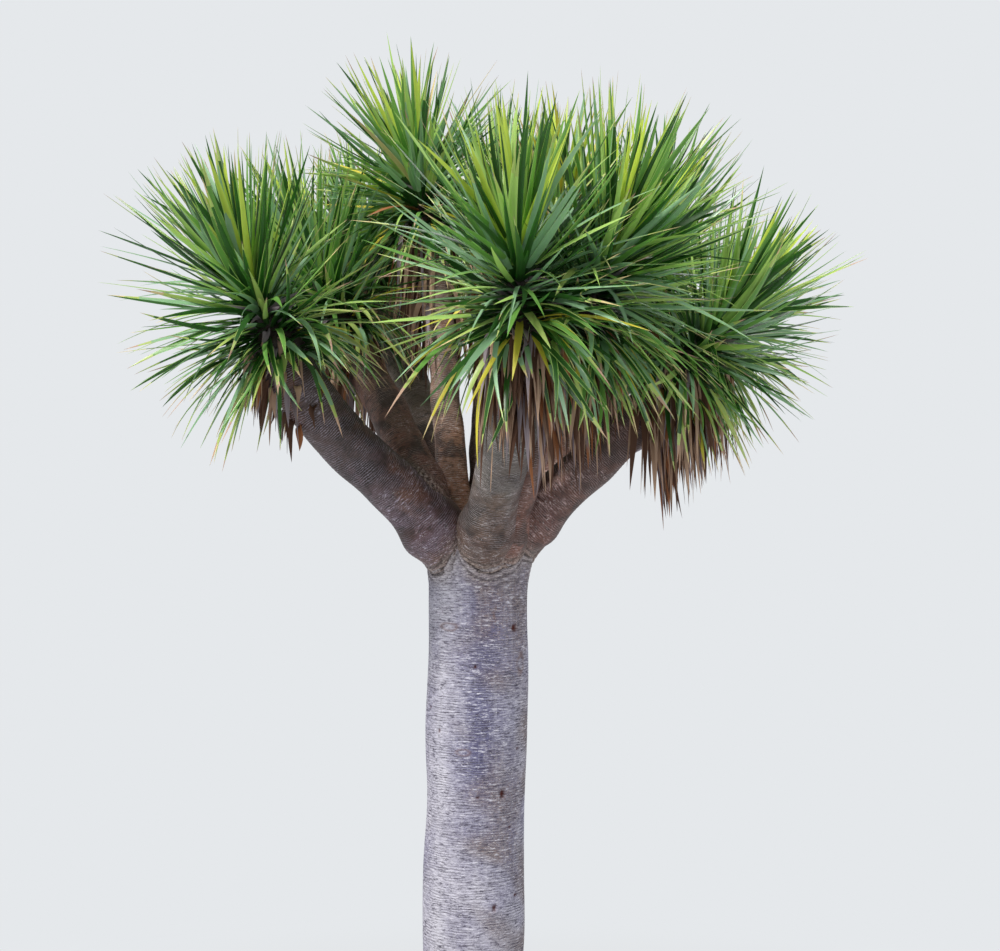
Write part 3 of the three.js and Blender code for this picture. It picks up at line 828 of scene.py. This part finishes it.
def leaf_plans(bough, rng):
    """The leaves of a head by the source's rule: leaf i sits i golden angles round the axis. Its age grows
    with i; its lean opens from young to old with the power AGEING of the age, and its root moves down."""
    count = bough["leaves"]
    index = np.arange(count)
    age = (index + 0.5) / count
    stub = (age > STUB_AGE) & (rng.random(count) < bough["shrivelled"])
    kink = ~stub & (age > KINK_AGE) & (rng.random(count) < KINKED)
    axis = bough["axis"]
    side = unit(np.cross([1, 0, 0], axis))
    over = np.cross(axis, side)
    stray = bough["wild"] * (1 + DISORDER * eased(age, *DISORDER_AGES))
    turn = index * GOLDEN_ANGLE + TURN_SPREAD * stray * rng.normal(0, 1, count)
    tuft = waves(turn, age, int(rng.integers(1000)), *TUFTS)
    turn = turn + TUFT_TURN * waves(turn, age, int(rng.integers(1000)), *TUFTS)
    outward = np.cos(turn)[:, None] * side + np.sin(turn)[:, None] * over
    lean = YOUNG_LEAN + (OLD_LEAN - YOUNG_LEAN) * age ** AGEING
    lean = lean + LEAN_SPREAD * stray * (rng.random(count) - 0.5)
    lean = lean + CLUMPS * tuft * np.minimum(1, age / TUFT_AGE)
    heading = np.cos(np.radians(lean))[:, None] * axis + np.sin(np.radians(lean))[:, None] * outward
    heading = unit(heading + bough["sweep"] * age[:, None] * SWEPT)
    grown = np.interp(age, [0, GROWN_AGE, 1], [YOUNG_LENGTH, 1, OLD_LENGTH])
    stunted = 1 - LENGTH_SPREAD * stray * rng.random(count) ** 1.6
    length = bough["leaf"] * grown * stunted * (1 - TUFT_LENGTH * tuft)
    length = np.where(stub, length * rng.uniform(*STUB_LENGTH, count), length)
    level = HIGHEST_ROOT + (LOWEST_ROOT - HIGHEST_ROOT) * age
    inside = STEM_RADIUS * (1 - ROOT_DEPTH) * np.minimum(1, lean / 90)
    bark = bough["girth"][2] * RIM
    reach = np.interp(level, [0, SHOULDER], [1, 0])
    root = (bough["tip"] + level[:, None] * STEM_LENGTH * axis
            + (inside + (bark - inside) * reach)[:, None] * outward)
    limp = np.maximum(0, (age - LIMP_AGE) / (1 - LIMP_AGE))
    sag = SAG * age ** 1.3 - LIFT * (1 - age) + LIMP_SAG * bough["fall"] * limp
    sag = sag + SAG_SPREAD * rng.normal(0, 1, count)
    return {
        "age": age, "dead": np.zeros(count, bool), "stub": stub, "root": root, "heading": heading,
        "length": length, "across": unit(np.cross(axis, heading)),
        "sag": np.where(kink, KINK_SAG, sag),
        "straight": np.where(kink, rng.uniform(*KINK_PLACE, count), STRAIGHT),
        "width": LEAF_WIDTH * rng.uniform(*WIDTH_SPREAD, count) * (YOUNG_WIDTH - WIDTH_LOSS * age),
        "fold": np.where(stub, rng.uniform(*STUB_FOLD, count), rng.uniform(*FOLD, count)),
        "twist": rng.normal(0, 1, count) * np.where(stub, STUB_TWIST, TWIST),
        "bend": rng.normal(0, 1, count) * np.where(stub, STUB_BEND, BEND + WILD_BEND * stray),
    }


def strap_plans(bough, rng):
    """Dead leaves that hang round the upper end of a bough. Each leaves the bark outwards and falls at once
    straight down."""
    count = bough["straps"]
    share = 1 - STRAP_ROOTS * rng.random(count) ** 1.5
    root, tangent, _ = along_curve(bough["controls"], share)
    side = unit(np.cross(tangent, UP))
    under = np.cross(tangent, side)
    turn = rng.normal(0, STRAP_FAN, count)
    outward = np.cos(turn)[:, None] * under + np.sin(turn)[:, None] * side
    root = root + girth_at(bough["girth"], share)[:, None] * 0.99 * outward
    heading = unit(outward + 0.35 * rng.normal(0, 1, (count, 3)) + 0.2 * tangent)
    return {
        "age": np.ones(count), "dead": np.ones(count, bool), "stub": np.zeros(count, bool), "root": root,
        "heading": heading, "length": bough["drop"] * rng.uniform(0.35, 1, count),
        "across": unit(np.cross(UP, heading) + 0.5 * rng.normal(0, 1, (count, 3))),
        "sag": STRAP_SAG * rng.uniform(0.3, 1.6, count),
        "straight": STRAP_STRAIGHT * rng.uniform(0.4, 2.2, count),
        "width": rng.uniform(*STRAP_WIDTH, count),
        "fold": rng.uniform(0.2, 1.1, count),
        "twist": rng.normal(0, 1.5, count),
        "bend": rng.normal(0, 0.05, count),
    }


def centre_lines(plan, stations):
    """Centre lines of leaves: the quadratic curve from the root, straight out for a share of the length and
    then towards the fallen heading, bowed sideways by bend · t² of the length. Also their directions."""
    t = stations[None, :, None]
    heading, length = plan["heading"][:, None], plan["length"][:, None, None]
    fallen = unit(plan["heading"] - plan["sag"][:, None] * UP)[:, None]
    root = plan["root"][:, None]
    straight = plan["straight"][:, None, None]
    knee = root + heading * length * straight
    tip = knee + fallen * length * (1 - straight)
    bow = plan["across"][:, None] * plan["bend"][:, None, None] * length
    line = (1 - t) ** 2 * root + 2 * (1 - t) * t * knee + t ** 2 * tip + bow * t ** 2
    slope = (1 - t) * (knee - root) + t * (tip - knee) + bow * t
    return line, unit(slope)


def leaf_breadth(stations):
    """Width along a leaf, as a share of its full width: 0.82 at the foot, eased to 1 a quarter of the way
    out, and from 0.22 on times 1 - ((t - 0.22) / 0.78)^2.5, a shallow curve to the point."""
    foot = 0.82 + 0.18 * eased(stations, 0, 0.25)
    taper = 1 - np.clip((stations - 0.22) / 0.78, 0, 1) ** 2.5
    return foot * taper


def leaf_points(plan):
    """Points of leaf blades: at each station the section spreads across the blade by half the width, lifts
    its edges by the fold to a shallow channel, and has the thickness between its two faces, all turned
    about the centre line by the twist times the station. The root and the tip end in a pole."""
    line, tangent = centre_lines(plan, STATIONS)
    across = plan["across"][:, None]
    across = unit(across - np.sum(tangent * across, -1, keepdims=True) * tangent)
    upper = np.cross(tangent, across)
    turn = (plan["twist"][:, None] * STATIONS)[..., None]
    across, upper = (across * np.cos(turn) + upper * np.sin(turn),
                     upper * np.cos(turn) - across * np.sin(turn))
    half = 0.5 * plan["width"][:, None] * leaf_breadth(STATIONS)
    fold = plan["fold"][:, None] * (1.25 - 0.6 * STATIONS)
    thick = 0.5 * LEAF_THICKNESS * (1.2 - STATIONS) * np.ones_like(half)
    out = half[..., None] * SECTION_OUT
    lift = half[..., None] * fold[..., None] * np.abs(SECTION_OUT) + thick[..., None] * SECTION_FACE
    ring = line[:, :, None] + out[..., None] * across[:, :, None] + lift[..., None] * upper[:, :, None]
    ends, _ = centre_lines(plan, np.array([0.0, 1.0]))
    return np.concatenate([ring.reshape(len(line), -1, 3), ends], axis=1)


def fitting(plan, bough, boughs):
    """Which leaves keep clear of every bough and stay, but for a little overlap, in their head's own space:
    all that lies nearer to its middle than to that of any other head."""
    line, _ = centre_lines(plan, FIT_STATIONS)
    half = 0.5 * plan["width"][:, None] * leaf_breadth(FIT_STATIONS)
    fits = True
    for other in boughs:
        if other is not bough:
            between = other["space"] - bough["space"]
            border = np.linalg.norm(between) / 2 + SPACE_OVERLAP
            fits &= np.all((line - bough["space"]) @ unit(between) < border, axis=1)
        beyond = (line - other["tip"]) @ other["axis"] > 0
        room = -LIMB_MARGIN if other is bough else np.where(plan["dead"][:, None], 0, half)
        free = off_bough(line, other) > room + LIMB_MARGIN
        fits &= np.all(beyond | free, axis=1)
    return fits


def chosen_leaves(bough, boughs, rng):
    """The leaves and straps that fit, each at the greatest share of its length that does."""
    leaves, straps = leaf_plans(bough, rng), strap_plans(bough, rng)
    plan = {key: np.concatenate([leaves[key], straps[key]]) for key in leaves}
    share = 0
    for size in FITS:
        sized = {**plan, "length": plan["length"] * size}
        share = np.where((share == 0) & fitting(sized, bough, boughs), size, share)
    plan["length"] = plan["length"] * share
    return {key: values[share > 0] for key, values in plan.items()}


def tones(plan, bough, rng):
    """Colour of each leaf's blade, of its margins and of its tip, and where the tip's colour begins. Each
    leaf draws a share, and takes the first colour whose limit it stays below in a group that it is in."""
    age, dead = plan["age"], plan["dead"]
    count = len(age)
    draw = rng.random(count)
    worn = rng.random(count) < bough["worn"] * (1 - age)
    shares = [
        (plan["stub"], [(1, "grey")]),
        (dead, [(0.34, "tan"), (0.46, "rust"), (0.86, "brown"), (1, "grey")]),
        (worn, [(0.30, "yellow"), (0.70, "olive"), (0.85, "straw"), (1, "rust")]),
        (~dead, [(0.34 - 1.6 * age, "spear"), (0.46 - age, "fresh"),
                 (bough["yellow"] * (age > 0.62), "yellow"), (0.30 * age, "olive"),
                 (0.48, "blue"), (0.78, "deep"), (0.95, "green"), (1, "fresh")]),
    ]
    rules = [(group & (draw < limit), KIND[name]) for group, limits in shares for limit, name in limits]
    names = np.select(*zip(*rules))
    edged = ~dead & (rng.random(count) < 0.12 + 0.3 * age)
    margins = np.where(edged, np.where((age > 0.7) & (draw < 0.4), KIND["yellow"], KIND["fresh"]), names)
    withered = ~dead & (rng.random(count) < 0.30 + 0.60 * age)
    tip_from = np.where(withered, 1 - (0.03 + 0.15 * rng.random(count) ** 2) * (0.5 + age), 2.0)
    tips = np.where(rng.random(count) < 0.6, KIND["tan"], KIND["straw"])
    return names, margins, tips, tip_from


def leaf_piece(name, plan, chosen, colours, finishes, node):
    """Joins the chosen leaves of a head into one piece, with a colour for each face. Tips dry from their
    margins, next to them green turns olive and olive straw, and the feet of grown leaves are in shade."""
    if not chosen.any():
        return
    plan = {key: values[chosen] for key, values in plan.items()}
    names, margins, tips, tip_from = (part[chosen] for part in colours)
    points = leaf_points(plan)
    count, corners = points.shape[:2]
    sides = len(SECTION_OUT)
    quads, fans = tube_faces(len(STATIONS), sides)
    start = (np.arange(count) * corners)[:, None, None]
    ends = np.repeat([0, 1], sides)
    at = np.concatenate([np.repeat((STATIONS[:-1] + STATIONS[1:]) / 2, sides), ends])[None]
    margin = np.concatenate([np.tile(MARGIN_STRIPS, len(STATIONS) - 1), ends > 0])[None]
    kinds = np.where(margin, margins[:, None], names[:, None])
    inward = tip_from[:, None] + np.where(margin, -0.05, 0.03)
    green, olive = (names < KIND["olive"])[:, None], (names == KIND["olive"])[:, None]
    kinds = np.where((at > inward - 0.09) & green, KIND["olive"], kinds)
    kinds = np.where((at > inward - 0.06) & olive, KIND["straw"], kinds)
    kinds = np.where(at > inward, tips[:, None], kinds)
    age = plan["age"][:, None]
    shaded = (at < 0.13 + 0.12 * (age > 0.45)) & (age > 0.16) & (green | olive)
    kinds = np.where(shaded, KIND["deep"], kinds)
    split = len(quads)
    order = np.concatenate([kinds[:, :split].ravel(), kinds[:, split:].ravel()])
    piece = make_piece(name, points.reshape(-1, 3), (quads[None] + start).reshape(-1, 4),
                       (fans[None] + start).reshape(-1, 3), finishes, [node], kinds=order)
    piece.data.set_sharp_from_angle(angle=SHARP_ANGLE)


def head(bough, boughs, finishes, seed):
    """The leaves of one head, green, deep green, yellowing and dry ones each as a piece of their own."""
    rng = np.random.default_rng(seed)
    plan = chosen_leaves(bough, boughs, rng)
    colours = tones(plan, bough, rng)
    node = f"leaves_{bough['name']}"
    groups = {
        "green": ("spear", "fresh", "green"),
        "deep": ("deep", "blue"),
        "yellow": ("olive", "yellow", "straw"),
        "dry": ("tan", "rust", "brown", "grey"),
    }
    for group, members in groups.items():
        chosen = np.isin(colours[0], [KIND[member] for member in members])
        leaf_piece(f"{node}_{group}", plan, chosen, colours, finishes, node)


def make_camera():
    """Camera at the photograph's viewing point, level, with its frame shifted to the horizon's row."""
    camera = bpy.data.cameras.new("camera")
    camera.sensor_width = SENSOR_WIDTH
    camera.lens = SENSOR_WIDTH * FOCAL_PIXELS / PHOTO_WIDTH
    camera.shift_y = (HORIZON_ROW - PHOTO_HEIGHT / 2) / PHOTO_WIDTH
    camera.clip_end = 200
    viewer = add_object("camera", camera)
    viewer.location = CAMERA_PLACE
    viewer.rotation_euler = (math.pi / 2, 0, 0)
    bpy.context.scene.camera = viewer


def area_light(name, place, aim, size, power, colour):
    """Soft square light at a place, turned towards the point it is aimed at."""
    light = bpy.data.lights.new(name, "AREA")
    light.size, light.energy, light.color = size, power, colour
    lamp = add_object(name, light)
    lamp.location = place
    gaze = unit(np.array(aim, float) - np.array(place, float))
    lamp.rotation_euler = (math.acos(-gaze[2]), 0, math.atan2(-gaze[0], gaze[1]))


def make_floor():
    """Pale level floor that fades into the surroundings away from the trunk."""
    turn = np.linspace(0, 2 * np.pi, FLOOR_SIDES, endpoint=False)
    rim = FLOOR_RADIUS * np.stack([np.cos(turn), np.sin(turn), 0 * turn], -1)
    mesh = bpy.data.meshes.new("floor")
    mesh.from_pydata(rim.tolist(), [], [list(range(FLOOR_SIDES))])
    constants = {"Base Color": shade(*FLOOR_COLOUR), "Roughness": 0.9, "Specular IOR Level": 0.2}
    finish = Finish("floor", constants)
    where = finish.node("TexCoord", {}, "Object")
    far = finish.node("VectorMath", {0: where}, "Value", operation="LENGTH")
    glow = finish.node("Emission", {"Color": shade(*SKY_COLOUR), "Strength": 1.0})
    own = Value(finish, finish.shader.outputs["BSDF"])
    finish.surface(finish.node("MixShader", {0: finish.step(far, *FLOOR_FADE), 1: own, 2: glow}))
    mesh.materials.append(finish.material)
    floor = add_object("floor", mesh)


def make_surroundings():
    """Even pale surroundings, which give less light than they look, so that the lamps model the leaves."""
    world = bpy.data.worlds.new("surroundings")
    nodes = Nodes(world)
    sky = {"Color": shade(*SKY_COLOUR)}
    given = nodes.node("Background", {**sky, "Strength": SKY_LIGHT})
    seen = nodes.node("Background", sky)
    looking = nodes.node("LightPath", {}, "Is Camera Ray")
    nodes.surface(nodes.node("MixShader", {0: looking, 1: given, 2: seen}))
    bpy.context.scene.world = world


make_camera()
make_floor()
make_surroundings()
for lamp in LAMPS:
    area_light(*lamp)
bpy.context.scene.view_settings.view_transform = "Standard"

grown = {}
for *traits, own in BOUGHS:
    row = {**USUAL, **dict(zip(TRAITS, traits)), **own}
    grown[row["name"]] = lay_out(row, grown)
limbs = list(grown.values())

trunk_bark(limbs)
barks = {name: bough_finish(name, *colours) for name, colours in BARKS.items()}
leaf_skins = [leaf_finish(name, *look) for name, look in LEAF_COLOURS.items()]
for number, limb in enumerate(limbs):
    bough_bark(limb, limbs, barks[limb["bark"]], SEED + 100 * (number + 1))
    head(limb, limbs, leaf_skins, SEED + number)
